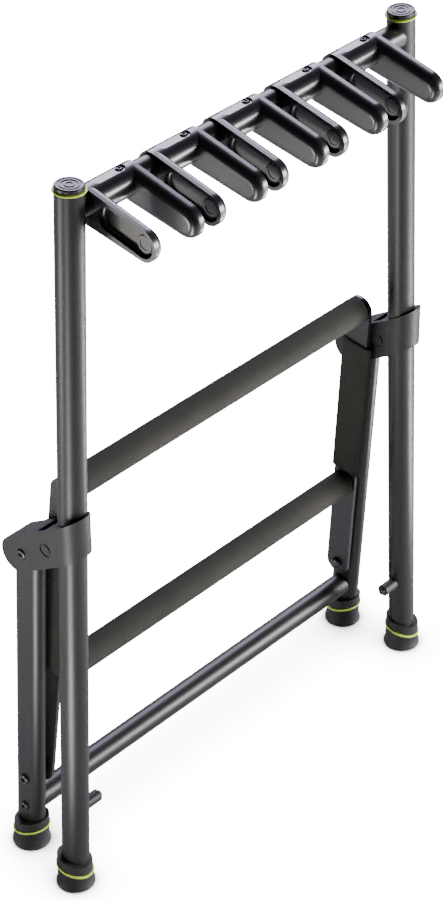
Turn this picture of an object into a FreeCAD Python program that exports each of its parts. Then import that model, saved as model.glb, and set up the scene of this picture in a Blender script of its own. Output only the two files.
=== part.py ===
import FreeCAD, Part
import math
import os
import Sketcher

# Folding rack for five guitars, shown folded.
# X runs along the neck bar, the cradle prongs point to -Y, Z is up, the floor is Z = 0.
# Distances named _y are measured from the plane of the two posts, which stands at post_y.

Vector = FreeCAD.Vector
Rotation = FreeCAD.Rotation
Placement = FreeCAD.Placement
AXIS_X = Vector(1, 0, 0)
AXIS_Y = Vector(0, 1, 0)
AXIS_Z = Vector(0, 0, 1)
ORIGIN = Vector(0, 0, 0)
SIDES = (("left", -1), ("right", 1))

DRIVING = {
    # posts and neck bar
    "rack_height": 801.7,
    "post_d": 28,
    "tube_wall": 1.5,
    "post_foot_x": 257.1,
    "post_top_x": 220.3,
    "neck_bar_d": 25,
    "neck_bar_z": 776,
    # neck cradles
    "cradle_pitch": 81.6,
    "cradle_shift": -10,
    "cradle_width": 61,
    "sleeve_d": 30,
    "prong_thick": 12,
    "prong_reach": 87,
    "prong_tip_r": 16,
    "prong_root_r": 21.5,
    "prong_droop": 12,
    "prong_round": 8,
    "hollow_r": 12.4,
    "hollow_depth": 6,
    "hollow_back": 30,
    "hollow_round": 3,
    "disc_d": 18,
    "disc_thick": 3,
    "recess_long": 40,
    "recess_wide": 12,
    "recess_angle": 17,
    # hinge brackets
    "hinge_y": 51,
    "hinge_z": 394.3,
    "bracket_band": 37.5,
    "bracket_slope": 33,
    "bracket_tail": 10.5,
    "bracket_wall": 3.2,
    "cheek": 2.6,
    "cheek_gap": 0.4,
    "cheek_inner_x": 224.5,
    "boss_d": 18,
    "badge_d": 15,
    "badge_deep": 1,
    # rear legs
    "leg_x": 245,
    "leg_wide": 33,
    "leg_thick": 18,
    "leg_lean": 3.85,
    "leg_open": 26.15,
    "crossbar_d": 25,
    "crossbar_at": 340.5,
    "arm_pivot_at": 302,
    # support frame
    "arm_pivot_x": 230.5,
    "arm_tip_x": 215.4,
    "arm_wide": 29,
    "arm_thick": 4,
    "arm_lean": 5.6,
    "front_bar_at": 360,
    "rear_bar_at": 121,
    "bar_tube_d": 22,
    "foam_d": 29,
    "arm_foam_wide": 37,
    "arm_foam_thick": 7.6,
    "arm_foam_from": 137,
    "arm_foam_to": 316,
    # rests for the open arms
    "stud_z": 93,
    "stud_d": 13,
    "stud_tip_x": 220,
    # boots and caps
    "boot_d": 36.4,
    "boot_lip_d": 39.8,
    "boot_height": 34,
    "boot_floor": 5,
    "boot_ring_z": 20.5,
    "boot_ring_d": 38.2,
    "boot_ring_high": 2.2,
    "post_boot_slant": 16,
    "post_boot_turn": 43,
    "leg_boot_slant": -16,
    "leg_boot_turn": 0,
    "cap_d": 27.6,
    "cap_high": 4.6,
    "cap_ring_d": 31.4,
    "cap_ring_high": 1.8,
    # fasteners
    "bolt_d": 6,
    "bush_d": 10,
    "bolt_head_d": 10.4,
    "bolt_head_high": 3,
    "pivot_bolt_d": 8,
    "spacer_d": 13,
    "screw_d": 4,
    "screw_head_d": 7.4,
    "running_gap": 0.05,
    "side_gap": 0.55,
}

doc = FreeCAD.newDocument("guitar_rack")
sheet = doc.addObject("Spreadsheet::Sheet", "sizes")
for row, (alias, value) in enumerate(DRIVING.items(), start=1):
    sheet.set("A%d" % row, alias)
    sheet.set("B%d" % row, str(value))
    sheet.setAlias("B%d" % row, alias)
doc.recompute()


def size(alias):
    """A driving dimension, read from the sheet."""
    return float(sheet.get(alias))


def sin_of(degrees):
    return math.sin(math.radians(degrees))


def cos_of(degrees):
    return math.cos(math.radians(degrees))


def below(y, z, lean, distance):
    """The point that lies the distance down a line that leans back by lean degrees."""
    return y + distance * sin_of(lean), z - distance * cos_of(lean)


# Places worked out from the driving dimensions.
post_angle = math.degrees(math.atan2(size("post_foot_x") - size("post_top_x"), size("rack_height")))
leg_foot_y = size("hinge_y") + size("hinge_z") * math.tan(math.radians(size("leg_lean")))
tip_back = size("prong_reach") - size("prong_tip_r")
tip_up = size("sleeve_d") / 2 - size("prong_tip_r")
front_edge = (tip_back * cos_of(size("prong_droop")) + tip_up * sin_of(size("prong_droop"))
              + size("prong_tip_r"))
lip_z = 2.6
back_edge = (leg_foot_y + size("boot_lip_d") / 2 * cos_of(size("leg_lean"))
             - lip_z * sin_of(size("leg_lean")))
post_y = (front_edge - back_edge) / 2
pivot_y, pivot_z = below(size("hinge_y"), size("hinge_z"), size("leg_lean"), size("arm_pivot_at"))
cross_y, cross_z = below(size("hinge_y"), size("hinge_z"), size("leg_lean"), size("crossbar_at"))
front_y, front_z = below(pivot_y, pivot_z, size("arm_lean"), -size("front_bar_at"))
rear_y, rear_z = below(pivot_y, pivot_z, size("arm_lean"), -size("rear_bar_at"))
leg_inner_x = size("leg_x") - size("leg_thick") / 2
leg_outer_x = size("leg_x") + size("leg_thick") / 2
arm_long = size("front_bar_at") + size("arm_wide") / 2
arm_splay = math.degrees(math.atan2(size("arm_pivot_x") - size("arm_tip_x"), arm_long))


def post_x(z):
    """Distance of a post's axis from the middle of the rack at a height."""
    return size("post_foot_x") - (size("post_foot_x") - size("post_top_x")) * z / size("rack_height")


def at(x, y, z, rotation=Rotation()):
    """A placement given from the posts' plane."""
    return Placement(Vector(x, post_y + y, z), rotation)


def post_frame(side, along=0):
    """A placement on a post's own axis, some way up from the floor."""
    rotation = Rotation(AXIS_Y, -side * post_angle)
    foot = Vector(side * size("post_foot_x"), post_y, 0)
    return Placement(foot + rotation.multVec(Vector(0, 0, along)), rotation)


def arm_outer(distance):
    """How far out a support arm's outer face stands, some way up from its pivot."""
    return size("arm_pivot_x") - distance * sin_of(arm_splay)


def bind(obj, **expressions):
    """Ties properties of an object to cells of the sheet."""
    for name, text in expressions.items():
        obj.setExpression(name, text)
    return obj


def cylinder(name, diameter, height, placement=Placement()):
    obj = bind(doc.addObject("Part::Cylinder", name), Radius="(%s) / 2" % diameter, Height=height)
    obj.Placement = placement
    return obj


def box(name, long, wide, high, placement=Placement()):
    obj = bind(doc.addObject("Part::Box", name), Length=long, Width=wide, Height=high)
    obj.Placement = placement
    return obj


def fuse(name, shapes):
    obj = doc.addObject("Part::MultiFuse", name)
    obj.Shapes = shapes
    return obj


def cut(name, base, tools, placement=Placement()):
    obj = doc.addObject("Part::Cut", name)
    obj.Base = base
    obj.Tool = tools[0] if len(tools) == 1 else fuse(name + "_tools", tools)
    obj.Placement = placement
    return obj


def common(name, first, second):
    obj = doc.addObject("Part::MultiCommon", name)
    obj.Shapes = [first, second]
    return obj


def group(label, members):
    obj = doc.addObject("Part::Compound", label)
    obj.Links = members
    return obj


def body_sketch(body, name, role):
    """A sketch on one of a body's own origin planes."""
    sketch = body.newObject("Sketcher::SketchObject", name)
    plane = [item for item in body.Origin.OriginFeatures if item.Role == role][0]
    sketch.AttachmentSupport = [(plane, "")]
    sketch.MapMode = "FlatFace"
    return sketch


def sketch_circle(sketch, diameter, x=0, y=0):
    """A circle whose diameter follows the sheet."""
    index = sketch.addGeometry(Part.Circle(Vector(x, y, 0), AXIS_Z, 5))
    sketch.addConstraint(Sketcher.Constraint("DistanceX", -1, 1, index, 3, x))
    sketch.addConstraint(Sketcher.Constraint("DistanceY", -1, 1, index, 3, y))
    number = sketch.addConstraint(Sketcher.Constraint("Diameter", index, 10))
    sketch.setExpression("Constraints[%d]" % number, diameter)
    return index


def sketch_slot(sketch, long, wide):
    """A slot about the origin, long in X, whose length and width follow the sheet."""
    reach, r = 6, 5
    arcs = []
    for sign in (1, -1):
        circle = Part.Circle(Vector(sign * reach, 0, 0), AXIS_Z, r)
        start = -math.pi / 2 if sign > 0 else math.pi / 2
        arcs.append(sketch.addGeometry(Part.ArcOfCircle(circle, start, start + math.pi)))
    top = sketch.addGeometry(Part.LineSegment(Vector(reach, r, 0), Vector(-reach, r, 0)))
    low = sketch.addGeometry(Part.LineSegment(Vector(-reach, -r, 0), Vector(reach, -r, 0)))
    for first, first_end, second, second_end in ((arcs[0], 2, top, 1), (top, 2, arcs[1], 1),
                                                 (arcs[1], 2, low, 1), (low, 2, arcs[0], 1)):
        sketch.addConstraint(Sketcher.Constraint("Tangent", first, first_end, second, second_end))
    sketch.addConstraint(Sketcher.Constraint("Equal", arcs[0], arcs[1]))
    sketch.addConstraint(Sketcher.Constraint("Symmetric", arcs[0], 3, arcs[1], 3, -1, 1))
    sketch.addConstraint(Sketcher.Constraint("PointOnObject", arcs[0], 3, -1))
    radius = sketch.addConstraint(Sketcher.Constraint("Radius", arcs[0], r))
    sketch.setExpression("Constraints[%d]" % radius, "(%s) / 2" % wide)
    apart = sketch.addConstraint(Sketcher.Constraint("DistanceX", arcs[1], 3, arcs[0], 3, 2 * reach))
    sketch.setExpression("Constraints[%d]" % apart, "(%s) - (%s)" % (long, wide))


def sketch_path(sketch, steps):
    """A closed outline. A step is a point, or a via point and an end point for an arc."""
    last = steps[-1][-1]
    for step in steps:
        if len(step) == 1:
            edge = Part.LineSegment(Vector(*last, 0), Vector(*step[0], 0))
        else:
            edge = Part.Arc(Vector(*last, 0), Vector(*step[0], 0), Vector(*step[1], 0))
        index = sketch.addGeometry(edge)
        sketch.addConstraint(Sketcher.Constraint("Block", index))
        last = step[-1]


def pad(body, name, sketch, length, both_ways=False):
    feature = body.newObject("PartDesign::Pad", name)
    feature.Profile = sketch
    feature.Midplane = both_ways
    return bind(feature, Length=length)


def pocket(body, name, sketch, length, both_ways=False, reverse=False):
    feature = body.newObject("PartDesign::Pocket", name)
    feature.Profile = sketch
    feature.Midplane = both_ways
    feature.Reversed = reverse
    return bind(feature, Length=length)


def tube_body(label, diameter, wall, length, placement):
    """A round tube that runs up its own Z axis."""
    body = doc.addObject("PartDesign::Body", label)
    section = body_sketch(body, label + "_section", "XY_Plane")
    sketch_circle(section, diameter)
    sketch_circle(section, "(%s) - 2 * (%s)" % (diameter, wall))
    pad(body, label + "_pad", section, length)
    body.Placement = placement
    return body


def turned_body(label, points, placement=Placement()):
    """A solid turned about Z from points (radius, height). Three numbers give an arc's via point."""
    body = doc.addObject("PartDesign::Body", label)
    profile = body_sketch(body, label + "_profile", "XZ_Plane")
    sketch_path(profile, points)
    feature = body.newObject("PartDesign::Revolution", label + "_turn")
    feature.Profile = profile
    feature.ReferenceAxis = (profile, ["V_Axis"])
    feature.Angle = 360
    body.Placement = placement
    return body


ALONG_X = Rotation(AXIS_Y, 90)


def head_points(head_r, head_high, shank_r, shank_long, socket_r):
    """A button head screw: the head's underside is Z = 0 and the shank runs to -Z."""
    deep = head_high * 0.55
    return [[(0, head_high - deep)], [(socket_r, head_high - deep)], [(socket_r, head_high)],
            [(head_r * 0.88, head_high * 0.72), (head_r, head_high * 0.2)], [(head_r, 0)],
            [(shank_r, 0)], [(shank_r, -shank_long)], [(0, -shank_long)]]


def screw(name, head_d, shank_d, shank_long, placement):
    points = head_points(head_d / 2, size("bolt_head_high") * head_d / size("bolt_head_d"),
                         shank_d / 2, shank_long, head_d * 0.24)
    return turned_body(name, points, placement)


def facing(side):
    """Turns a fastener so that its head points away from the middle of the rack."""
    return Rotation(AXIS_Y, side * 90)


parts = []

# Posts: round tubes with a cross hole for the rest stud.
boot_gap = size("boot_floor") + 1
tube_top = size("rack_height") / cos_of(post_angle) - size("cap_high") - size("cap_ring_high")
post_solids = {}
for name, side in SIDES:
    tube = tube_body("%s_post_tube" % name, "sizes.post_d", "sizes.tube_wall",
                     str(tube_top - boot_gap) + " mm", post_frame(side, boot_gap))
    hole_start = post_x(size("stud_z")) - size("post_d")
    stud_hole = cylinder("%s_stud_hole" % name, "sizes.screw_d", "sizes.post_d",
                         at(side * hole_start, 0, size("stud_z"), facing(side)))
    post = cut("%s_post" % name, tube, [stud_hole])
    parts.append(post)
    post_solids[side] = cylinder("%s_post_solid" % name, "sizes.post_d", "sizes.rack_height",
                                 post_frame(side))

# Neck bar: a round tube whose ends are coped to sit on the posts.
cradle_x = [size("cradle_shift") + (number - 2) * size("cradle_pitch") for number in range(5)]
fix_x = size("recess_long") / 2 - size("recess_wide") / 2
recess_turn = Rotation(AXIS_X, size("prong_droop") - size("recess_angle"))
bar_tube = tube_body("neck_bar_tube", "sizes.neck_bar_d", "sizes.tube_wall", "2 * sizes.post_top_x",
                     at(-size("post_top_x"), 0, size("neck_bar_z"), ALONG_X))
screw_holes = []
for number, x in enumerate(cradle_x, start=1):
    screw_holes.append(cylinder("neck_bar_hole_%d" % number, "sizes.screw_d", "sizes.neck_bar_d",
                                at(x + fix_x, 0, size("neck_bar_z"), recess_turn)))
parts.append(cut("neck_bar", bar_tube, [post_solids[-1], post_solids[1]] + screw_holes))


# Neck cradle: two prongs with a rounded inner face and a hollow outer face, on a sleeve.
# It is drawn with level prongs and its sleeve about X, and tilts down by prong_droop.
def prong_outline():
    """Level on top, round about the sleeve, deeper at the root than at the round tip."""
    r = size("sleeve_d") / 2
    tip_r = size("prong_tip_r")
    root_r = size("prong_root_r")
    tip = Vector(tip_r - size("prong_reach"), r - tip_r, 0)
    root = Vector(r - root_r, 0, 0)
    line = root - tip
    swing = math.acos((tip_r - root_r) / line.Length)
    down = math.atan2(line.y, line.x) - swing
    outward = Vector(math.cos(down), math.sin(down), 0)
    root_low = root + outward * root_r
    tip_low = tip + outward * tip_r
    return [[(0, r)], [(r * cos_of(45), r * sin_of(45)), (r, 0)],
            [(root.x + root_r * cos_of(45), -root_r * sin_of(45)), (root_low.x, root_low.y)],
            [(tip_low.x, tip_low.y)], [(tip.x - tip_r, tip.y), (tip.x, r)]]


prong = doc.addObject("PartDesign::Body", "prong")
outline = body_sketch(prong, "prong_outline", "YZ_Plane")
sketch_path(outline, prong_outline())
prong_pad = pad(prong, "prong_pad", outline, "sizes.prong_thick")
doc.recompute()
inner_edges = ["Edge%d" % (number + 1) for number, edge in enumerate(prong_pad.Shape.Edges)
               if edge.BoundBox.XMin > size("prong_thick") - 0.01]
rounding = prong.newObject("PartDesign::Fillet", "prong_rounding")
rounding.Base = (prong_pad, inner_edges)
bind(rounding, Radius="sizes.prong_round")
hollow_z = size("sleeve_d") / 2 - size("prong_tip_r")
hollow_tip = -size("prong_reach") + size("prong_tip_r")
hollow = body_sketch(prong, "prong_hollow", "YZ_Plane")
hollow_r = size("hollow_r")
hollow_start = -size("hollow_back")
sketch_path(hollow, [[(hollow_start, hollow_z + hollow_r)],
                     [(hollow_start + hollow_r, hollow_z), (hollow_start, hollow_z - hollow_r)],
                     [(hollow_tip, hollow_z - hollow_r)],
                     [(hollow_tip - hollow_r, hollow_z), (hollow_tip, hollow_z + hollow_r)]])
hollow_cut = pocket(prong, "prong_hollow_cut", hollow, "sizes.hollow_depth", reverse=True)
doc.recompute()
floor_edges = ["Edge%d" % (number + 1) for number, edge in enumerate(hollow_cut.Shape.Edges)
               if abs(edge.BoundBox.XMin - size("hollow_depth")) < 0.01
               and abs(edge.BoundBox.XMax - size("hollow_depth")) < 0.01]
hollow_round = prong.newObject("PartDesign::Fillet", "prong_hollow_round")
hollow_round.Base = (hollow_cut, floor_edges)
bind(hollow_round, Radius="sizes.hollow_round")
prong.Placement = Placement(Vector(-size("cradle_width") / 2, 0, 0), Rotation())

other_prong = doc.addObject("Part::Mirroring", "other_prong")
other_prong.Source = prong
other_prong.Normal = AXIS_X
sleeve = cylinder("cradle_sleeve", "sizes.sleeve_d", "sizes.cradle_width - 4",
                  Placement(Vector(-size("cradle_width") / 2 + 2, 0, 0), ALONG_X))
cradle_form = fuse("cradle_form", [prong, other_prong, sleeve])
bore = cylinder("cradle_bore", "sizes.neck_bar_d", "sizes.cradle_width + 4",
                Placement(Vector(-size("cradle_width") / 2 - 2, 0, 0), ALONG_X))
recess = doc.addObject("PartDesign::Body", "cradle_recess")
recess_sketch = body_sketch(recess, "cradle_recess_sketch", "XY_Plane")
sketch_slot(recess_sketch, "sizes.recess_long", "sizes.recess_wide")
pad(recess, "cradle_recess_pad", recess_sketch, "10 mm")
lay_back = Rotation(AXIS_X, -size("recess_angle"))
recess_floor = size("neck_bar_d") / 2 + 0.7
recess.Placement = Placement(lay_back.multVec(Vector(0, 0, recess_floor)), lay_back)
fix_hole = cylinder("cradle_fix_hole", "sizes.screw_head_d + 0.6", "sizes.sleeve_d",
                    Placement(lay_back.multVec(Vector(fix_x, 0, 0)), lay_back))
cradle_tools = fuse("cradle_tools", [bore, recess, fix_hole])
droop = Rotation(AXIS_X, size("prong_droop"))
for number, x in enumerate(cradle_x, start=1):
    parts.append(cut("neck_cradle_%d" % number, cradle_form, [cradle_tools],
                     at(x, 0, size("neck_bar_z"), droop)))

# Screws that fix the cradles to the bar.
head_seat = size("neck_bar_d") / 2
fixings = []
for number, x in enumerate(cradle_x, start=1):
    seat = recess_turn.multVec(Vector(0, 0, head_seat))
    place = at(x + fix_x, seat.y, size("neck_bar_z") + seat.z, recess_turn)
    fixings.append(screw("cradle_screw_%d" % number, size("screw_head_d"), size("screw_d"), 4, place))
parts.append(group("cradle_screws", fixings))

# Plain ringed discs that stand in the prongs' hollows.
disc_r = size("disc_d") / 2
disc_points = [[(0, size("disc_thick") - 0.6)], [(disc_r * 0.62, size("disc_thick") - 0.6)],
               [(disc_r * 0.62, size("disc_thick"))], [(disc_r - 0.6, size("disc_thick"))],
               [(disc_r, size("disc_thick") - 0.6)], [(disc_r, 0)], [(0, 0)]]
discs = []
for number, x in enumerate(cradle_x, start=1):
    for name, side in SIDES:
        centre = droop.multVec(Vector(0, hollow_tip, hollow_z))
        floor_x = size("cradle_width") / 2 - size("hollow_depth")
        place = at(x + side * floor_x, centre.y, size("neck_bar_z") + centre.z,
                   droop.multiply(facing(side)))
        discs.append(turned_body("prong_disc_%d_%s" % (number, name), disc_points, place))
parts.append(group("prong_discs", discs))


# Post caps: a plug, a coloured ring on the tube's end and a domed disc with rings on top.
def cap_points():
    r = size("cap_d") / 2
    high = size("cap_high")
    plug_r = size("post_d") / 2 - size("tube_wall")
    ring = size("cap_ring_high")
    points = [[(0, ring + high - 0.7)]]
    for inner, outer in ((0.24, 0.36), (0.56, 0.68)):
        points += [[(r * inner, ring + high - 0.7)], [(r * inner, ring + high)],
                   [(r * outer, ring + high)], [(r * outer, ring + high - 0.7)]]
    points += [[(r * 0.8, ring + high - 0.7)], [(r * 0.8, ring + high)],
               [(r - 1.2, ring + high)], [(r - 0.35, ring + high - 0.35), (r, ring + high - 1.2)],
               [(r, ring + 0.8)], [(r - 0.8, ring)], [(plug_r, ring)], [(plug_r, -12)], [(0, -12)]]
    return points


ring_hole = size("post_d") / 2 - size("tube_wall")
for name, side in SIDES:
    parts.append(turned_body("%s_post_cap" % name, cap_points(), post_frame(side, tube_top)))
    ring_r = size("cap_ring_d") / 2
    ring_points = [[(ring_hole, size("cap_ring_high"))], [(ring_r - 0.6, size("cap_ring_high"))],
                   [(ring_r, size("cap_ring_high") / 2), (ring_r - 0.6, 0)], [(ring_hole, 0)]]
    parts.append(turned_body("%s_cap_ring" % name, ring_points, post_frame(side, tube_top)))


# Boots: a turned rubber foot with a flared lip, cut off aslant, with a slanted coloured ring.
def boot_points():
    r = size("boot_d") / 2
    lip = size("boot_lip_d") / 2
    top = size("boot_height") + r
    return [[(0, top)], [(r - 0.4, top)], [(r, 8)], [(lip - 0.6, 4.2)],
            [(lip, lip_z), (lip - 0.5, 1)], [(lip - 1.6, 0)], [(lip - 1.6, -3)], [(0, -3)]]


def leg_solid(name):
    """The outline of a rear leg as a solid that runs down its own Z axis."""
    body = doc.addObject("PartDesign::Body", name)
    section = body_sketch(body, name + "_section", "XY_Plane")
    sketch_slot(section, "sizes.leg_wide", "sizes.leg_thick")
    pad(body, name + "_pad", section, "sizes.hinge_z")
    return body


# A leg's section is drawn long in X, so it is turned by 90 degrees before it leans back.
leg_turn = Rotation(AXIS_X, size("leg_lean")).multiply(Rotation(AXIS_Z, 90))


def slab(name, base, along, high, slant, aside):
    """A slanted plate some way up a boot's axis, lower at the front for a positive slant.

    The boot is turned on its tube by the angle aside, seen from above."""
    turn = Rotation(AXIS_Z, aside).multiply(Rotation(AXIS_X, slant))
    corner = turn.multVec(Vector(-50, -50, 0)) + Vector(0, 0, along)
    return box(name, "100 mm", "100 mm", high, base.multiply(Placement(corner, turn)))


def boot(label, base, socket, slant, aside):
    """A boot whose axis starts on the floor at base, with a level sole, and its ring."""
    turned = turned_body(label + "_form", boot_points(), base)
    top = slab(label + "_top", base, size("boot_height"), "100 mm", slant, aside)
    band = slab(label + "_band", base, size("boot_ring_z"), "sizes.boot_ring_high", slant, aside)
    under = box(label + "_under", "100 mm", "100 mm", "20 mm",
                Placement(base.Base + Vector(-50, -50, -20), Rotation()))
    core = cylinder(label + "_core", "sizes.boot_d - 2", "sizes.boot_height * 2", base)
    groove = cut(label + "_groove", band, [core])
    whole = cut(label, turned, [top, groove, socket, under])
    around = cylinder(label + "_around", "sizes.boot_ring_d", "sizes.boot_height * 2", base)
    ring_blank = common(label + "_ring_blank", around, band)
    ring = cut(label + "_ring", ring_blank, [core])
    return [whole, ring]


for name, side in SIDES:
    socket = cylinder("%s_post_socket" % name, "sizes.post_d", "100 mm", post_frame(side, boot_gap))
    parts += boot("%s_post_boot" % name, at(side * size("post_foot_x"), 0, 0), socket,
                  size("post_boot_slant"), size("post_boot_turn"))
    socket = leg_solid("%s_leg_socket" % name)
    foot_y, foot_z = below(size("hinge_y"), size("hinge_z"), size("leg_lean"),
                           (size("hinge_z") - boot_gap) / cos_of(size("leg_lean")))
    socket.Placement = at(side * size("leg_x"), foot_y, foot_z, leg_turn)
    parts += boot("%s_leg_boot" % name,
                  at(side * size("leg_x"), leg_foot_y, 0, Rotation(AXIS_X, size("leg_lean"))),
                  socket, size("leg_boot_slant"), size("leg_boot_turn"))


# Hinge brackets: a slanted band round the post whose two cheeks run back past the leg.
# Each is drawn about the post's axis at bracket_z, with the outside of the rack to +X.
band_y = size("hinge_y") + size("bracket_tail") * cos_of(size("bracket_slope"))
band_z = size("hinge_z") - size("bracket_tail") * sin_of(size("bracket_slope"))
bracket_z = size("hinge_z") + size("hinge_y") * math.tan(math.radians(size("bracket_slope")))
bracket_x = post_x(bracket_z)
outer_x = leg_outer_x + size("cheek_gap") + size("cheek") - bracket_x
inner_x = size("cheek_inner_x") - bracket_x
room_x = leg_inner_x - size("cheek_gap") - bracket_x
hollow_x = inner_x + size("cheek")
wrap_x = -size("post_d") / 2 - size("bracket_wall")


nut_deep = size("bolt_d") * 0.6


def bracket_side():
    """The slanted band seen from the side, with its round tail, in Y and Z."""
    r = size("bracket_band") / 2
    slope = size("bracket_slope")
    tail = Vector(band_y, band_z - bracket_z, 0)
    across = Vector(sin_of(slope), cos_of(slope), 0) * r
    along = Vector(cos_of(slope), -sin_of(slope), 0) * r
    forward = along * (-110 / r)
    corners = [tail + forward + across, tail + across, tail + along, tail - across,
               tail + forward - across]
    top_front, top, end, low, low_front = [(point.x, point.y) for point in corners]
    return [[top], [end, low], [low_front], [top_front]]


def bracket_plan():
    """The bracket seen from above, in X and Y."""
    middle = (outer_x + wrap_x) / 2
    r = (outer_x - wrap_x) / 2
    back = 120
    return [[(outer_x, 0)], [(middle, -r), (wrap_x, 0)], [(wrap_x, 6)], [(inner_x, 36)],
            [(inner_x, back)], [(outer_x, back)]]


def leg_pocket():
    """The room between the cheeks that the leg turns in, open below, in Y and Z."""
    r = size("leg_wide") / 2 + 0.5
    y, z = size("hinge_y"), size("hinge_z") - bracket_z
    lean = size("leg_lean") + size("leg_open")
    stop = (y + r * cos_of(lean), z + r * sin_of(lean))
    far = (stop[0] + 90 * sin_of(lean), stop[1] - 90 * cos_of(lean))
    crown = (y, z + r)
    return [[(y - r, z)], [(y - r * cos_of(45), z + r * sin_of(45)), crown],
            [(y + r * sin_of(32), z + r * cos_of(32)), stop], [far], [(y - r, far[1])]]


def bracket_form():
    body = doc.addObject("PartDesign::Body", "bracket_form")
    side_view = body_sketch(body, "bracket_side", "YZ_Plane")
    sketch_path(side_view, bracket_side())
    pad(body, "bracket_band_pad", side_view, "60 mm", both_ways=True)
    plan = body_sketch(body, "bracket_plan", "XY_Plane")
    sketch_path(plan, [[(90, -90)], [(90, 140)], [(-90, 140)], [(-90, -90)]])
    sketch_path(plan, bracket_plan())
    pocket(body, "bracket_plan_cut", plan, "400 mm", both_ways=True)
    rooms = []
    for name, start, wide in (("leg_room", room_x, size("leg_thick") + 2 * size("cheek_gap")),
                              ("side_room", hollow_x, room_x - hollow_x)):
        room = doc.addObject("PartDesign::Body", name)
        room_sketch = body_sketch(room, name + "_sketch", "YZ_Plane")
        sketch_path(room_sketch, leg_pocket())
        pad(room, name + "_pad", room_sketch, str(wide) + " mm")
        room.Placement = Placement(Vector(start, 0, 0), Rotation())
        rooms.append(room)
    hinge = Vector(-60, size("hinge_y"), size("hinge_z") - bracket_z)
    boss = cylinder("bracket_boss", "sizes.boss_d", "120 mm", Placement(hinge, ALONG_X))
    rooms[1] = cut("bracket_side_room", rooms[1], [boss])
    window = box("bracket_window", str(outer_x - size("cheek") - hollow_x - 2) + " mm", "13 mm",
                 "60 mm", Placement(Vector(hollow_x + 1, 19, -10), Rotation()))
    lean = Rotation(AXIS_Y, -post_angle)
    post_hole = cylinder("bracket_post_hole", "sizes.post_d", "200 mm",
                         Placement(lean.multVec(Vector(0, 0, -100)), lean))
    bolt_hole = cylinder("bracket_bolt_hole", "sizes.bolt_d", "120 mm", Placement(hinge, ALONG_X))
    head_seat = cylinder("bracket_head_seat", "sizes.bolt_head_d + 1", "20 mm",
                         Placement(Vector(outer_x - 1, hinge.y, hinge.z), ALONG_X))
    nut_seat = cylinder("bracket_nut_seat", "sizes.bolt_d * 2", "20 mm",
                        Placement(Vector(inner_x + nut_deep - 20, hinge.y, hinge.z), ALONG_X))
    badge_y = 17.5
    badge_z = -badge_y * math.tan(math.radians(size("bracket_slope")))
    core = cylinder("bracket_badge_core", "sizes.badge_d - 4.4", "120 mm",
                    Placement(Vector(-60, badge_y, badge_z), ALONG_X))
    rings = []
    for name, start in (("outer", outer_x - size("badge_deep")),
                        ("inner", wrap_x + 2.5 - 20)):
        ring = cylinder("bracket_badge_" + name, "sizes.badge_d", "20 mm",
                        Placement(Vector(start, badge_y, badge_z), ALONG_X))
        rings.append(cut("bracket_badge_ring_" + name, ring, [core]))
    return cut("bracket_whole", body, rooms + [window, post_hole, bolt_hole, head_seat, nut_seat]
               + rings)


whole_bracket = bracket_form()
right_bracket = doc.addObject("Part::Compound", "right_hinge_bracket")
right_bracket.Links = [whole_bracket]
right_bracket.Placement = at(bracket_x, 0, bracket_z)
mirror_bracket = doc.addObject("Part::Mirroring", "mirror_bracket")
mirror_bracket.Source = whole_bracket
mirror_bracket.Normal = AXIS_X
left_bracket = doc.addObject("Part::Compound", "left_hinge_bracket")
left_bracket.Links = [mirror_bracket]
left_bracket.Placement = at(-bracket_x, 0, bracket_z)
parts += [left_bracket, right_bracket]

# Hinge bolts and their nuts.
bolts = []
nuts = []
shank_long = outer_x - 1 - inner_x - 0.5
for name, side in SIDES:
    x = side * (bracket_x + outer_x - 1)
    bolts.append(screw("%s_hinge_bolt" % name, size("bolt_head_d"), size("bolt_d"), shank_long,
                       at(x, size("hinge_y"), size("hinge_z"), facing(side))))
    nut = doc.addObject("Part::Prism", "%s_nut_blank" % name)
    nut.Polygon = 6
    bind(nut, Circumradius="sizes.bolt_d * 0.92", Height="sizes.bolt_d * 0.55")
    nut_bore = cylinder("%s_nut_bore" % name, "sizes.bolt_d", "20 mm",
                        Placement(Vector(0, 0, -5), Rotation()))
    nuts.append(cut("%s_hinge_nut" % name, nut, [nut_bore],
                    at(side * (bracket_x + inner_x + nut_deep), size("hinge_y"), size("hinge_z"),
                       facing(-side))))
parts.append(group("hinge_bolts", bolts))
parts.append(group("hinge_nuts", nuts))


# Rear legs: flat oval tubes, solid and rounded off where the hinge goes through.
def oval_bar(name, long, wide, thick, side):
    """A flat oval bar that runs up a rear leg from its foot."""
    body = doc.addObject("PartDesign::Body", name)
    section = body_sketch(body, name + "_section", "XY_Plane")
    sketch_slot(section, wide, thick)
    pad(body, name + "_pad", section, str(long) + " mm")
    body.Placement = at(side * size("leg_x"), leg_bottom[0], leg_bottom[1], leg_turn)
    return body


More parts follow.
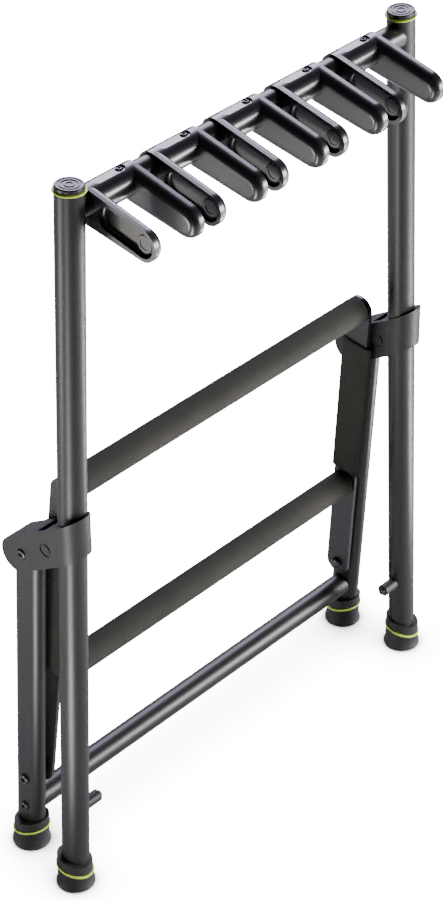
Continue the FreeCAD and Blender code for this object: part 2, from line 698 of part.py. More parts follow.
def rear_leg(name, side):
    long = (size("hinge_z") - boot_gap) / cos_of(size("leg_lean"))
    r = size("leg_wide") / 2
    outside = oval_bar(name + "_leg_outside", long + r, "sizes.leg_wide", "sizes.leg_thick", side)
    inside = oval_bar(name + "_leg_inside", long - 1.4 * r, "sizes.leg_wide - 2 * sizes.tube_wall",
                      "sizes.leg_thick - 2 * sizes.tube_wall", side)
    middle = side * size("leg_x")
    corner_y, corner_z = below(size("hinge_y"), size("hinge_z"), size("leg_lean"), -1)
    above = box(name + "_leg_above", "40 mm", "80 mm", "40 mm",
                at(middle - 20, corner_y - 40, corner_z, Rotation(AXIS_X, size("leg_lean"))))
    crown_y, crown_z = below(size("hinge_y"), size("hinge_z"), size("leg_lean"), 0.7)
    crown = cylinder(name + "_leg_crown", "sizes.leg_wide + 1.4", "60 mm",
                     at(middle - 30, crown_y, crown_z, ALONG_X))
    holes = []
    for tag, diameter, distance in (("hinge", "sizes.bush_d", 0),
                                    ("pivot", "sizes.pivot_bolt_d", size("arm_pivot_at")),
                                    ("cross", "sizes.bolt_d", size("crossbar_at"))):
        y, z = below(size("hinge_y"), size("hinge_z"), size("leg_lean"), distance)
        holes.append(cylinder("%s_leg_%s_hole" % (name, tag), diameter, "60 mm",
                              at(middle - 30, y, z, ALONG_X)))
    top = cut(name + "_leg_top", above, [crown])
    return cut("%s_rear_leg" % name, outside, [top, inside] + holes)


leg_bottom = below(size("hinge_y"), size("hinge_z"), size("leg_lean"),
                   (size("hinge_z") - boot_gap) / cos_of(size("leg_lean")))
bushes = []
for name, side in SIDES:
    parts.append(rear_leg(name, side))
    bush_long = size("leg_thick")
    bush_points = [[(size("bolt_d") / 2 + size("running_gap"), bush_long)],
                   [(size("bush_d") / 2, bush_long)], [(size("bush_d") / 2, 0)],
                   [(size("bolt_d") / 2 + size("running_gap"), 0)]]
    bushes.append(turned_body("%s_hinge_bush" % name, bush_points,
                              at(side * size("leg_x") - bush_long / 2, size("hinge_y"),
                                 size("hinge_z"), ALONG_X)))
parts.append(group("hinge_bushes", bushes))

# Crossbar between the legs, with an insert at each end for its screw.
parts.append(tube_body("crossbar", "sizes.crossbar_d", "sizes.tube_wall",
                       str(2 * leg_inner_x) + " mm", at(-leg_inner_x, cross_y, cross_z, ALONG_X)))
inserts = []
cross_screws = []
pivot_bolts = []
spacers = []
washers = []
for name, side in SIDES:
    room_d = "sizes.crossbar_d - 2 * sizes.tube_wall"
    plug = cylinder("%s_insert_plug" % name, room_d, "16 mm",
                    at(side * leg_inner_x, cross_y, cross_z, facing(-side)))
    thread = cylinder("%s_insert_thread" % name, "sizes.bolt_d", "60 mm",
                      at(side * (leg_inner_x + 20), cross_y, cross_z, facing(-side)))
    inserts.append(cut("%s_crossbar_insert" % name, plug, [thread]))
    cross_screws.append(screw("%s_crossbar_screw" % name, size("bolt_head_d"), size("bolt_d"),
                              size("leg_thick") + 12,
                              at(side * leg_outer_x, cross_y, cross_z, facing(side))))
    spacer_long = leg_inner_x - size("arm_pivot_x") - size("side_gap")
    spacer_points = [[(size("pivot_bolt_d") / 2, spacer_long)],
                     [(size("spacer_d") / 2, spacer_long)],
                     [(size("spacer_d") / 2, 0)], [(size("pivot_bolt_d") / 2, 0)]]
    spacers.append(turned_body("%s_arm_spacer" % name, spacer_points,
                               at(side * leg_inner_x, pivot_y, pivot_z, facing(-side))))
    nut_x = size("arm_pivot_x") - size("arm_thick") - size("side_gap") - 1
    reach = leg_outer_x - nut_x
    pivot_bolts.append(screw("%s_pivot_bolt" % name, size("bolt_head_d") + 1.2,
                             size("pivot_bolt_d"), reach,
                             at(side * leg_outer_x, pivot_y, pivot_z, facing(side))))
    nut_r = size("pivot_bolt_d") * 0.75
    nut_points = [[(0, 4)], [(nut_r * 0.5, 4)], [(nut_r * 0.85, 3), (nut_r, 1)], [(nut_r, -1)],
                  [(size("pivot_bolt_d") / 2, -1)], [(size("pivot_bolt_d") / 2, 0)], [(0, 0)]]
    washers.append(turned_body("%s_pivot_nut" % name, nut_points,
                               at(side * nut_x, pivot_y, pivot_z,
                                  facing(-side))))
parts.append(group("crossbar_inserts", inserts))
parts.append(group("crossbar_screws", cross_screws))
parts.append(group("arm_spacers", spacers))
parts.append(group("arm_pivot_bolts", pivot_bolts))
parts.append(group("arm_pivot_nuts", washers))


# Support frame: flat arms with round ends, two cross tubes, and foam over the tubes and arms.
# The arms close in by arm_splay toward the front bar, so that they pass between the posts.
arm_turn = Rotation(AXIS_X, size("arm_lean"))
arm_plates = []
for name, side in SIDES:
    body = doc.addObject("PartDesign::Body", "%s_arm_plate" % name)
    blade = body_sketch(body, "%s_arm_blade" % name, "YZ_Plane")
    r = size("arm_wide") / 2
    sketch_path(blade, [[(r, size("front_bar_at"))],
                        [(0, size("front_bar_at") + r), (-r, size("front_bar_at"))],
                        [(-r, 0)], [(0, -r), (r, 0)]])
    pad(body, "%s_arm_pad" % name, blade, "sizes.arm_thick", both_ways=True)
    splay_turn = arm_turn.multiply(Rotation(AXIS_Y, -side * arm_splay))
    middle_x = side * (size("arm_pivot_x") - size("arm_thick") / 2)
    body.Placement = at(middle_x, pivot_y, pivot_z, splay_turn)
    arm_plates.append(body)
    pivot_hole = cylinder("%s_arm_hole" % name, "sizes.pivot_bolt_d + 2 * sizes.running_gap", "20 mm",
                          at(middle_x - 10, pivot_y, pivot_z, ALONG_X))
    parts.append(cut("%s_support_arm" % name, body, [pivot_hole]))
    foam = doc.addObject("PartDesign::Body", "%s_arm_foam" % name)
    wrap = body_sketch(foam, "%s_arm_foam_section" % name, "XY_Plane")
    sketch_slot(wrap, "sizes.arm_foam_wide", "sizes.arm_foam_thick")
    half_wide = size("arm_wide") / 2
    half_thick = size("arm_thick") / 2
    sketch_path(wrap, [[(half_wide, half_thick)], [(-half_wide, half_thick)],
                       [(-half_wide, -half_thick)], [(half_wide, -half_thick)]])
    pad(foam, "%s_arm_foam_pad" % name, wrap, "sizes.arm_foam_to - sizes.arm_foam_from")
    start = splay_turn.multVec(Vector(0, 0, size("arm_foam_from")))
    foam.Placement = at(middle_x + start.x, pivot_y + start.y, pivot_z + start.z,
                        splay_turn.multiply(Rotation(AXIS_Z, 90)))
    parts.append(foam)

foam_end_gap = size("foam_d") / 2 * sin_of(arm_splay) + 0.05
for label, y, z, distance in (("front_bar", front_y, front_z, size("front_bar_at")),
                              ("rear_bar", rear_y, rear_z, size("rear_bar_at"))):
    end_x = arm_outer(distance) - size("arm_thick") / 2
    long = str(2 * end_x) + " mm"
    place = at(-end_x, y, z, ALONG_X)
    tube = tube_body(label + "_tube", "sizes.bar_tube_d", "sizes.tube_wall", long, place)
    parts.append(cut(label, tube, arm_plates))
    foam_x = arm_outer(distance) - size("arm_thick") - foam_end_gap
    parts.append(tube_body(label + "_foam", "sizes.foam_d",
                           "(sizes.foam_d - sizes.bar_tube_d) / 2", str(2 * foam_x) + " mm",
                           at(-foam_x, y, z, ALONG_X)))

# Rest studs on the inner sides of the posts, each a rubber roller on a screw.
stud_screws = []
rollers = []
for name, side in SIDES:
    post_face = post_x(size("stud_z")) - size("post_d") / 2
    roller_long = post_face - size("stud_tip_x") + 0.6
    roller_points = [[(size("screw_d") / 2, roller_long)], [(size("stud_d") / 2 - 1.5, roller_long)],
                     [(size("stud_d") / 2, roller_long - 1.5)], [(size("stud_d") / 2, 0)],
                     [(size("screw_d") / 2, 0)]]
    blank = turned_body("%s_roller_blank" % name, roller_points,
                        at(side * (post_face + 0.6), 0, size("stud_z"), facing(-side)))
    rollers.append(cut("%s_roller" % name, blank, [post_solids[side]]))
    stud_screws.append(screw("%s_stud_screw" % name, size("screw_head_d") + 0.6, size("screw_d"),
                             roller_long + 4,
                             at(side * size("stud_tip_x"), 0, size("stud_z"), facing(-side))))
parts.append(group("rest_rollers", rollers))
parts.append(group("rest_screws", stud_screws))

doc.recompute()


def check(objects):
    """Stops the build if any object failed or any shape is empty or not valid."""
    for obj in objects:
        state = set(getattr(obj, "State", []))
        if state & {"Invalid", "Error"}:
            raise RuntimeError("%s did not build: %s" % (obj.Label, sorted(state)))
        shape = getattr(obj, "Shape", None)
        if obj in parts and (shape is None or shape.isNull() or not shape.isValid()):
            raise RuntimeError("%s has no valid shape" % obj.Label)


check(doc.Objects)
os.makedirs("parts", exist_ok=True)
for obj in parts:
    obj.Shape.exportStep("parts/%s.step" % obj.Label)
    print("%-22s solids %2d volume %9.0f" % (obj.Label, len(obj.Shape.Solids), obj.Shape.Volume))
print(len(parts), "parts")
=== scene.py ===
import math

import bpy
from bpy.props import FloatProperty, FloatVectorProperty, IntProperty, PointerProperty
from mathutils import Matrix, Vector


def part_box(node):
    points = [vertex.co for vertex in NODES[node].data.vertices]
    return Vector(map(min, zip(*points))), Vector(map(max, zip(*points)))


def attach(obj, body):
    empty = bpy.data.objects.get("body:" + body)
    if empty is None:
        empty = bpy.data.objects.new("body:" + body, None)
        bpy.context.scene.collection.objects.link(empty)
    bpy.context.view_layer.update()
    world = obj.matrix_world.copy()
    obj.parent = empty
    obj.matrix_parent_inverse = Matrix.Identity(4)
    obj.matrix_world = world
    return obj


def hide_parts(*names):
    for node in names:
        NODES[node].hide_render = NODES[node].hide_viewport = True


bl_info = {
    "name": "Folding guitar rack",
    "version": (1, 0, 0),
    "blender": (4, 2, 0),
    "location": "3D View > Sidebar > Rack",
    "description": "Finishes, foam sleeves and studio for a folding rack of five neck cradles",
    "category": "Object",
}

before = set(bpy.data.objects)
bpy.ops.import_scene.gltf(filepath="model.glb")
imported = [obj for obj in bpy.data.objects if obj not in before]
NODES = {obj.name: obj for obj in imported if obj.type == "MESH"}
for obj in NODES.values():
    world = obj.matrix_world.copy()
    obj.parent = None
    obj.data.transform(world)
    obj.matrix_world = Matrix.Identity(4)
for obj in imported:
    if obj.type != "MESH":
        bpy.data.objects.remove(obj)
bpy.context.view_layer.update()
MM = 0.001
SIDES = (("left", -1), ("right", 1))

# Places that the foam sleeves share with the solids, in millimetres.
HINGE_Y, HINGE_Z = 51.0, 394.3
LEG_LEAN = math.radians(3.85)
ARM_LEAN = math.radians(5.6)
PIVOT_DISTANCE = 302.0
ARM_PIVOT_X, ARM_TIP_X, ARM_LONG = 230.5, 215.4, 374.5
ARM_THICK = 4.0
ARM_SPLAY = math.atan2(ARM_PIVOT_X - ARM_TIP_X, ARM_LONG)
ARM_FOAM_FROM, ARM_FOAM_TO = 137.0, 316.0


# Node trees


class Value:
    """A socket that takes part in Python arithmetic by adding Math nodes to its tree."""

    def __init__(self, tree, socket):
        self.tree = tree
        self.socket = socket

    def _math(self, operation, first, second):
        return self.tree.node("ShaderNodeMath", {0: first, 1: second}, operation=operation)

    def __add__(self, other):
        return self._math("ADD", self, other)

    def __radd__(self, other):
        return self._math("ADD", other, self)

    def __sub__(self, other):
        return self._math("SUBTRACT", self, other)

    def __mul__(self, other):
        return self._math("MULTIPLY", self, other)

    def __pow__(self, other):
        return self._math("POWER", self, other)


class Tree:
    """Builds one node tree, a node at a time."""

    def __init__(self, tree):
        self.tree = tree

    def node(self, kind, inputs=None, output=0, **settings):
        """Adds a node: its settings first, then the values or links of its sockets."""
        made = self.tree.nodes.new(kind)
        for name, value in settings.items():
            setattr(made, name, value)
        for key, value in (inputs or {}).items():
            socket = made.inputs[key]
            if isinstance(value, Value):
                self.tree.links.new(value.socket, socket)
            else:
                socket.default_value = value
        return Value(self, made.outputs[output])

    def link(self, value, node, key):
        self.tree.links.new(value.socket, node.inputs[key])


class Finish(Tree):
    """A material with one main shader, whose patterns read Object coordinates in metres."""

    def __init__(self, name, roughness, metallic=0.0, coat=0.0, coat_roughness=0.1, ior=1.5):
        self.material = bpy.data.materials.new(name)
        self.material.use_nodes = True
        super().__init__(self.material.node_tree)
        self.shader = self.tree.nodes["Principled BSDF"]
        self.shader.inputs["Roughness"].default_value = roughness
        self.shader.inputs["Metallic"].default_value = metallic
        self.shader.inputs["Coat Weight"].default_value = coat
        self.shader.inputs["Coat Roughness"].default_value = coat_roughness
        self.shader.inputs["IOR"].default_value = ior
        self.place = self.node("ShaderNodeTexCoord", output="Object")

    def noise(self, scale, detail=3.0, roughness=0.55, stretch=None):
        """Cloudy noise from 0 to 1. The scale is in turns to a metre."""
        where = self.place
        if stretch:
            where = self.node("ShaderNodeMapping", {"Vector": self.place, "Scale": stretch})
        return self.node("ShaderNodeTexNoise", {"Vector": where, "Scale": scale, "Detail": detail,
                                                "Roughness": roughness})

    def cells(self, scale, feature="F1"):
        return self.node("ShaderNodeTexVoronoi", {"Vector": self.place, "Scale": scale},
                         feature=feature)

    def fit(self, value, low, high, to_low, to_high):
        return self.node("ShaderNodeMapRange", {"Value": value, "From Min": low, "From Max": high,
                                                "To Min": to_low, "To Max": to_high})

    def blend(self, factor, first, second):
        """Mixes two colours."""
        made = self.tree.nodes.new("ShaderNodeMix")
        made.data_type = "RGBA"
        for key, value in ((0, factor), (6, first), (7, second)):
            if isinstance(value, Value):
                self.tree.links.new(value.socket, made.inputs[key])
            else:
                made.inputs[key].default_value = value
        return Value(self, made.outputs[2])

    def colour(self, value):
        self.link(value, self.shader, "Base Color")

    def roughness(self, value):
        self.link(value, self.shader, "Roughness")

    def bump(self, height, distance, strength=1.0):
        bumped = self.node("ShaderNodeBump", {"Height": height, "Distance": distance,
                                              "Strength": strength}, output="Normal")
        self.link(bumped, self.shader, "Normal")


def rgba(colour, gain=1.0):
    return (colour[0] * gain, colour[1] * gain, colour[2] * gain, 1.0)


# Finishes


def powder_coat(name, colour, roughness):
    """Baked powder paint: a fine orange peel, with faint handling marks in its gloss."""
    finish = Finish(name, roughness, coat=0.2, coat_roughness=0.4)
    handling = finish.noise(14, 4.0)
    streaks = finish.noise(60, 2.0, stretch=(1.0, 1.0, 0.12))
    peel = finish.noise(1400, 2.0)
    finish.colour(finish.blend(finish.fit(handling, 0.3, 0.7, 0, 1), rgba(colour, 0.8),
                               rgba(colour, 1.35)))
    finish.roughness(roughness - 0.05 + handling * 0.07 + streaks * 0.05)
    finish.bump(peel + streaks * 0.3, 0.00006, 0.35)
    return finish.material


def moulded_gloss(name, colour, roughness):
    """Polished moulded plastic with a faint flow pattern and a few dull spots."""
    finish = Finish(name, roughness, coat=0.6, coat_roughness=0.2)
    flow = finish.noise(26, 3.0)
    grain = finish.noise(900, 2.0)
    finish.colour(finish.blend(finish.fit(flow, 0.3, 0.7, 0, 1), rgba(colour, 0.85),
                               rgba(colour, 1.25)))
    finish.roughness(roughness + flow * 0.08 + grain * 0.03)
    finish.bump(flow + grain * 0.15, 0.00012, 0.25)
    return finish.material


def moulded_matt(name, colour, roughness, grain_size=1600):
    """Textured moulded plastic: a fine etched grain."""
    finish = Finish(name, roughness)
    grain = finish.cells(grain_size)
    cloud = finish.noise(30, 3.0)
    finish.colour(finish.blend(finish.fit(cloud, 0.3, 0.7, 0, 1), rgba(colour, 0.8),
                               rgba(colour, 1.25)))
    finish.roughness(roughness - 0.06 + grain * 0.1 + cloud * 0.04)
    finish.bump(grain, 0.00008, 0.4)
    return finish.material


def foam_skin(name, colour):
    """Closed-cell foam: a dull skin of fine cells with pale dust in its pores."""
    finish = Finish(name, 0.86)
    cell = finish.cells(1500)
    pores = finish.noise(700, 4.0, 0.65)
    cloud = finish.noise(22, 3.0)
    shade = finish.blend(finish.fit(cloud, 0.3, 0.7, 0, 1), rgba(colour, 0.78), rgba(colour, 1.2))
    specks = finish.fit(pores, 0.58, 0.72, 0, 0.55)
    finish.colour(finish.blend(specks, shade, rgba(colour, 2.0)))
    finish.roughness(0.8 + pores * 0.16)
    finish.bump(cell * 0.5 + pores, 0.00035, 0.55)
    return finish.material


def rubber_skin(name, colour):
    """Moulded rubber, slightly dusty toward the floor."""
    finish = Finish(name, 0.55)
    grain = finish.noise(1200, 3.0)
    cloud = finish.noise(45, 3.0)
    height = finish.node("ShaderNodeSeparateXYZ", {"Vector": finish.place}, output="Z")
    dust = finish.fit(height, 0.0, 0.014, 0.4, 0.0) * cloud
    finish.colour(finish.blend(dust, rgba(colour), rgba((0.16, 0.15, 0.14))))
    finish.roughness(0.46 + cloud * 0.12 + dust * 0.3)
    finish.bump(grain, 0.0001, 0.35)
    return finish.material


def bright_ring(name, colour):
    """Clear saturated plastic with a soft mottle."""
    finish = Finish(name, 0.36)
    cloud = finish.noise(160, 3.0)
    finish.colour(finish.blend(cloud, rgba(colour, 0.86), rgba(colour, 1.12)))
    finish.roughness(0.3 + cloud * 0.12)
    finish.bump(cloud, 0.00005, 0.2)
    return finish.material


def blackened_steel(name, colour):
    """Oiled black oxide on steel, with fine turning marks."""
    finish = Finish(name, 0.34, metallic=0.85)
    cloud = finish.noise(320, 4.0)
    marks = finish.noise(2600, 2.0)
    finish.colour(finish.blend(cloud, rgba(colour, 0.7), rgba(colour, 1.5)))
    finish.roughness(0.26 + cloud * 0.16)
    finish.bump(marks, 0.00004, 0.3)
    return finish.material


def dress(material, *names):
    """Gives a carried-over solid its finish."""
    for name in names:
        slots = NODES[name].material_slots
        for slot in slots:
            slot.material = material
        if not slots:
            NODES[name].data.materials.append(material)


# Foam sleeves

SLEEVE_INPUTS = (("Width", 0.03), ("Thickness", 0.03), ("Wall", 0.0035), ("Length", 0.2),
                 ("Edge", 0.0016), ("Unevenness", 0.0002), ("Seed", 1.0))
OVAL_CORNER_POINTS, OVAL_POINTS = 24, 72
EDGE_CORNER_POINTS, WALL_POINTS = 4, 160
# The corner radius stays just under half the thickness, so that two arcs on a side stay apart.
ROUND_SHARE = 0.4999
LUMPS_PER_METRE = 26.0
BAR_UNEVENNESS, ARM_UNEVENNESS = 0.00022, 0.0002
ARM_SEED_STEP = 3
END_GAP = 0.0006


def sleeve_tree(material):
    """A soft wall swept round a flat oval. A round sleeve is an oval as thick as it is wide."""
    group = bpy.data.node_groups.new("foam_sleeve", "GeometryNodeTree")
    for name, value in SLEEVE_INPUTS:
        socket = group.interface.new_socket(name, in_out="INPUT", socket_type="NodeSocketFloat")
        socket.default_value = value
    group.interface.new_socket("Geometry", in_out="OUTPUT", socket_type="NodeSocketGeometry")
    tree = Tree(group)
    entry = group.nodes.new("NodeGroupInput")
    ask = {socket.name: Value(tree, socket) for socket in entry.outputs if socket.name}
    across = ask["Width"] - ask["Wall"]
    through = ask["Thickness"] - ask["Wall"]
    corners = tree.node("GeometryNodeCurvePrimitiveQuadrilateral", {"Width": across, "Height": through},
                        mode="RECTANGLE")
    oval = fillet(tree, corners, through * ROUND_SHARE, OVAL_CORNER_POINTS)
    oval = tree.node("GeometryNodeResampleCurve", {"Curve": oval, "Count": OVAL_POINTS})
    wall = tree.node("GeometryNodeCurvePrimitiveQuadrilateral",
                     {"Width": ask["Wall"], "Height": ask["Length"]}, mode="RECTANGLE")
    wall = fillet(tree, wall, ask["Edge"], EDGE_CORNER_POINTS)
    fine = tree.node("GeometryNodeResampleCurve", {"Curve": wall, "Count": WALL_POINTS})
    swept = tree.node("GeometryNodeCurveToMesh", {"Curve": oval, "Profile Curve": fine})
    position = tree.node("GeometryNodeInputPosition")
    normal = tree.node("GeometryNodeInputNormal")
    lumps = tree.node("ShaderNodeTexNoise",
                      {"Vector": position, "W": ask["Seed"], "Scale": LUMPS_PER_METRE,
                       "Detail": 2.0}, noise_dimensions="4D")
    push = (lumps - 0.5) * ask["Unevenness"] * 2.0
    offset = tree.node("ShaderNodeVectorMath", {0: normal, "Scale": push}, operation="SCALE")
    moved = tree.node("GeometryNodeSetPosition", {"Geometry": swept, "Offset": offset})
    real = tree.node("GeometryNodeRealizeInstances", {"Geometry": moved})
    smooth = tree.node("GeometryNodeSetShadeSmooth", {0: real})
    painted = tree.node("GeometryNodeSetMaterial", {"Geometry": smooth, "Material": material})
    leave = group.nodes.new("NodeGroupOutput")
    tree.link(painted, leave, 0)
    return group


def fillet(tree, curve, radius, count):
    """Rounds a curve's corners."""
    made = tree.tree.nodes.new("GeometryNodeFilletCurve")
    tree.link(curve, made, "Curve")
    tree.link(radius, made, "Radius")
    made.mode = "POLY"
    made.inputs["Count"].default_value = count
    return Value(tree, made.outputs[0])


def grow(name, group, sizes):
    """Runs a tree on an empty mesh and keeps the result as a plain mesh."""
    seed_mesh = bpy.data.meshes.new(name + "_seed")
    grower = bpy.data.objects.new(name + "_grower", seed_mesh)
    bpy.context.collection.objects.link(grower)
    modifier = grower.modifiers.new("grow", "NODES")
    modifier.node_group = group
    for item in group.interface.items_tree:
        if item.item_type == "SOCKET" and item.in_out == "INPUT" and item.name in sizes:
            modifier[item.identifier] = sizes[item.name]
    bpy.context.view_layer.update()
    evaluated = grower.evaluated_get(bpy.context.evaluated_depsgraph_get())
    mesh = bpy.data.meshes.new_from_object(evaluated)
    mesh.name = name
    bpy.data.objects.remove(grower)
    piece = bpy.data.objects.new(name, mesh)
    bpy.context.collection.objects.link(piece)
    return piece


def post_plane_y():
    """Y of the posts' plane, from the middle of a post's box, in millimetres."""
    low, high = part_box("neck_bar")
    return (low[1] + high[1]) / 2 / MM


def leg_point(distance):
    y = HINGE_Y + distance * math.sin(LEG_LEAN)
    z = HINGE_Z - distance * math.cos(LEG_LEAN)
    return y, z


def settle(piece, matrix, node):
    """Puts a sleeve's mesh in place, and lets it stand for its solid and ride with the frame."""
    piece.data.transform(matrix)
    piece.data.update()
    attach(piece, "support_frame")
    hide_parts(node)


# Settings


class RackColours(bpy.types.PropertyGroup):
    """Colours of the rack's finishes."""

    tube: FloatVectorProperty(name="Tube", description="Powder coat of the posts, legs and bars",
                              subtype="COLOR", default=(0.006, 0.006, 0.0055))
    plate: FloatVectorProperty(name="Arm plate", description="Powder coat of the flat arms",
                               subtype="COLOR", default=(0.016, 0.016, 0.016))
    cradle: FloatVectorProperty(name="Cradle", description="Glossy plastic of the neck cradles",
                                subtype="COLOR", default=(0.008, 0.008, 0.012))
    bracket: FloatVectorProperty(name="Bracket", description="Matt plastic of the hinge brackets",
                                 subtype="COLOR", default=(0.014, 0.014, 0.014))
    disc: FloatVectorProperty(name="Disc", description="Plastic of the discs in the prongs",
                              subtype="COLOR", default=(0.014, 0.014, 0.014))
    cap: FloatVectorProperty(name="Cap", description="Plastic of the post caps",
                             subtype="COLOR", default=(0.02, 0.02, 0.023))
    ring: FloatVectorProperty(name="Ring", description="Bright rings on the boots and caps",
                              subtype="COLOR", default=(0.76, 1.0, 0.09))
    boot: FloatVectorProperty(name="Boot", description="Rubber of the boots and rollers",
                              subtype="COLOR", default=(0.018, 0.018, 0.02))
    foam: FloatVectorProperty(name="Foam", description="Foam of the sleeves",
                              subtype="COLOR", default=(0.026, 0.0245, 0.019))
    steel: FloatVectorProperty(name="Steel", description="Screws and bolts",
                               subtype="COLOR", default=(0.09, 0.09, 0.1))


class RackFoam(bpy.types.PropertyGroup):
    """Sizes of the foam sleeves."""

    bar_width: FloatProperty(name="Bar sleeve", description="Outer diameter of the bar sleeves",
                             unit="LENGTH", default=0.029)
    bar_wall: FloatProperty(name="Bar sleeve wall", description="Foam thickness on the bars",
                            unit="LENGTH", default=0.0035)
    arm_width: FloatProperty(name="Arm sleeve width", description="Width of the arm sleeves",
                             unit="LENGTH", default=0.037)
    arm_thick: FloatProperty(name="Arm sleeve thickness", description="Thickness of the arm sleeves",
                             unit="LENGTH", default=0.0076)
    arm_wall: FloatProperty(name="Arm sleeve wall", description="Foam thickness on the arms",
                            unit="LENGTH", default=0.0017)
    edge: FloatProperty(name="Edge", description="Rounding of the cut ends",
                        unit="LENGTH", default=0.0009)
    seed: IntProperty(name="Seed", description="Seed of the foam's unevenness", default=4)


class RackStage(bpy.types.PropertyGroup):
    """Floor, light and lens."""

    lens: FloatProperty(name="Lens", description="Focal length of the camera in millimetres",
                        default=109.67)
    world: FloatProperty(name="Surround", description="Strength of the white surround", default=0.05)
    backdrop: FloatProperty(name="Backdrop", description="Glow of the paper floor", default=18.0)
    key: FloatProperty(name="Key", description="Power that each light takes its share of",
                       unit="POWER", default=60.0)
    floor: FloatVectorProperty(name="Floor", description="Colour of the floor", subtype="COLOR",
                               default=(0.86, 0.86, 0.86))


# Operators


class RACK_OT_tubes(bpy.types.Operator):
    """Finishes the posts, legs, bars and arm plates"""

    bl_idname = "rack.tubes"
    bl_label = "Tubes and plates"

    def execute(self, context):
        colours = context.scene.rack_colours
        black = powder_coat("black_powder_coat", colours.tube, 0.42)
        dress(black, "left_post", "right_post", "left_rear_leg", "right_rear_leg", "crossbar",
              "front_bar", "rear_bar")
        dress(powder_coat("neck_bar_coat", colours.tube, 0.3), "neck_bar")
        grey = powder_coat("grey_powder_coat", colours.plate, 0.36)
        dress(grey, "left_support_arm", "right_support_arm")
        return {"FINISHED"}


class RACK_OT_cradles(bpy.types.Operator):
    """Finishes the neck cradles and their discs"""

    bl_idname = "rack.cradles"
    bl_label = "Neck cradles"

    def execute(self, context):
        colours = context.scene.rack_colours
        gloss = moulded_gloss("cradle_gloss", colours.cradle, 0.3)
        dress(gloss, *["neck_cradle_%d" % number for number in range(1, 6)])
        dress(moulded_gloss("disc_satin", colours.disc, 0.3), "prong_discs")
        return {"FINISHED"}


class RACK_OT_mouldings(bpy.types.Operator):
    """Finishes the hinge brackets, the caps and the hidden plastic parts"""

    bl_idname = "rack.mouldings"
    bl_label = "Brackets and caps"

    def execute(self, context):
        colours = context.scene.rack_colours
        matt = moulded_matt("bracket_matt", colours.bracket, 0.5)
        dress(matt, "left_hinge_bracket", "right_hinge_bracket")
        cap = moulded_matt("cap_satin", colours.cap, 0.32)
        dress(cap, "left_post_cap", "right_post_cap")
        plain = moulded_matt("insert_plastic", colours.cap, 0.5)
        dress(plain, "crossbar_inserts", "hinge_bushes", "arm_spacers")
        return {"FINISHED"}


class RACK_OT_boots(bpy.types.Operator):
    """Finishes the boots, the rest rollers and the bright rings"""

    bl_idname = "rack.boots"
    bl_label = "Boots and rings"

    def execute(self, context):
        colours = context.scene.rack_colours
        boots = ["%s_%s_boot" % (side, what) for side, _ in SIDES for what in ("post", "leg")]
        dress(rubber_skin("boot_rubber", colours.boot), "rest_rollers", *boots)
        rings = [name + "_ring" for name in boots] + ["%s_cap_ring" % side for side, _ in SIDES]
        dress(bright_ring("ring_lime", colours.ring), *rings)
        return {"FINISHED"}


class RACK_OT_fasteners(bpy.types.Operator):
    """Finishes the screws, bolts and nuts"""

    bl_idname = "rack.fasteners"
    bl_label = "Fasteners"

    def execute(self, context):
        steel = blackened_steel("black_oxide", context.scene.rack_colours.steel)
        dress(steel, "cradle_screws", "hinge_bolts", "hinge_nuts", "crossbar_screws",
              "arm_pivot_bolts", "arm_pivot_nuts", "rest_screws")
        return {"FINISHED"}


class RACK_OT_foam(bpy.types.Operator):
    """Makes the foam sleeves on the bars and the arms"""

    bl_idname = "rack.foam"
    bl_label = "Foam sleeves"

    def execute(self, context):
        sizes = context.scene.rack_foam
        group = sleeve_tree(foam_skin("foam_skin", context.scene.rack_colours.foam))
        for number, name in enumerate(("front_bar", "rear_bar")):
            low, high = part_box(name + "_foam")
            long = high[0] - low[0]
            piece = grow(name + "_sleeve", group,
                         {"Width": sizes.bar_width, "Thickness": sizes.bar_width,
                          "Wall": sizes.bar_wall, "Length": long - END_GAP, "Edge": sizes.edge,
                          "Unevenness": BAR_UNEVENNESS, "Seed": float(sizes.seed + number)})
            middle = Vector([(a + b) / 2 for a, b in zip(low, high)])
            turn = Matrix.Rotation(math.radians(90), 4, "Y")
            settle(piece, Matrix.Translation(middle) @ turn, name + "_foam")
        pivot_y, pivot_z = leg_point(PIVOT_DISTANCE)
        long = (ARM_FOAM_TO - ARM_FOAM_FROM) * MM
        for name, side in SIDES:
            piece = grow(name + "_arm_sleeve", group,
                         {"Width": sizes.arm_width, "Thickness": sizes.arm_thick,
                          "Wall": sizes.arm_wall, "Length": long, "Edge": sizes.edge,
                          "Unevenness": ARM_UNEVENNESS,
                          "Seed": float(sizes.seed + ARM_SEED_STEP + side)})
            turn = (Matrix.Rotation(ARM_LEAN, 4, "X") @ Matrix.Rotation(-side * ARM_SPLAY, 4, "Y"))
            along = Matrix.Translation((0, 0, (ARM_FOAM_FROM + ARM_FOAM_TO) / 2 * MM))
            quarter = Matrix.Rotation(math.radians(90), 4, "Z")
            start = Vector((side * (ARM_PIVOT_X - ARM_THICK / 2), post_plane_y() + pivot_y, pivot_z))
            settle(piece, Matrix.Translation(start * MM) @ turn @ along @ quarter,
                   name + "_arm_foam")
        return {"FINISHED"}


# The camera stands at this place from the posts' plane. All lengths of the stage are in metres.
CAMERA_PLACE = Vector((-1.6099, -1.4902, 1.9898))
CAMERA_RIGHT = Vector((0.6825, -0.7309, -0.0089))
CAMERA_FORWARD = Vector((0.5886, 0.5568, -0.5861))
FLOOR_REACH = 14.0
# How far the painted contact shadow in the floor's glow reaches.
CONTACT_SHADOW_REACH = 0.07
RACK_MIDDLE = (0.0, 0.0, 0.45)
CRADLES_LEFT = (-0.2, -0.08, 0.75)
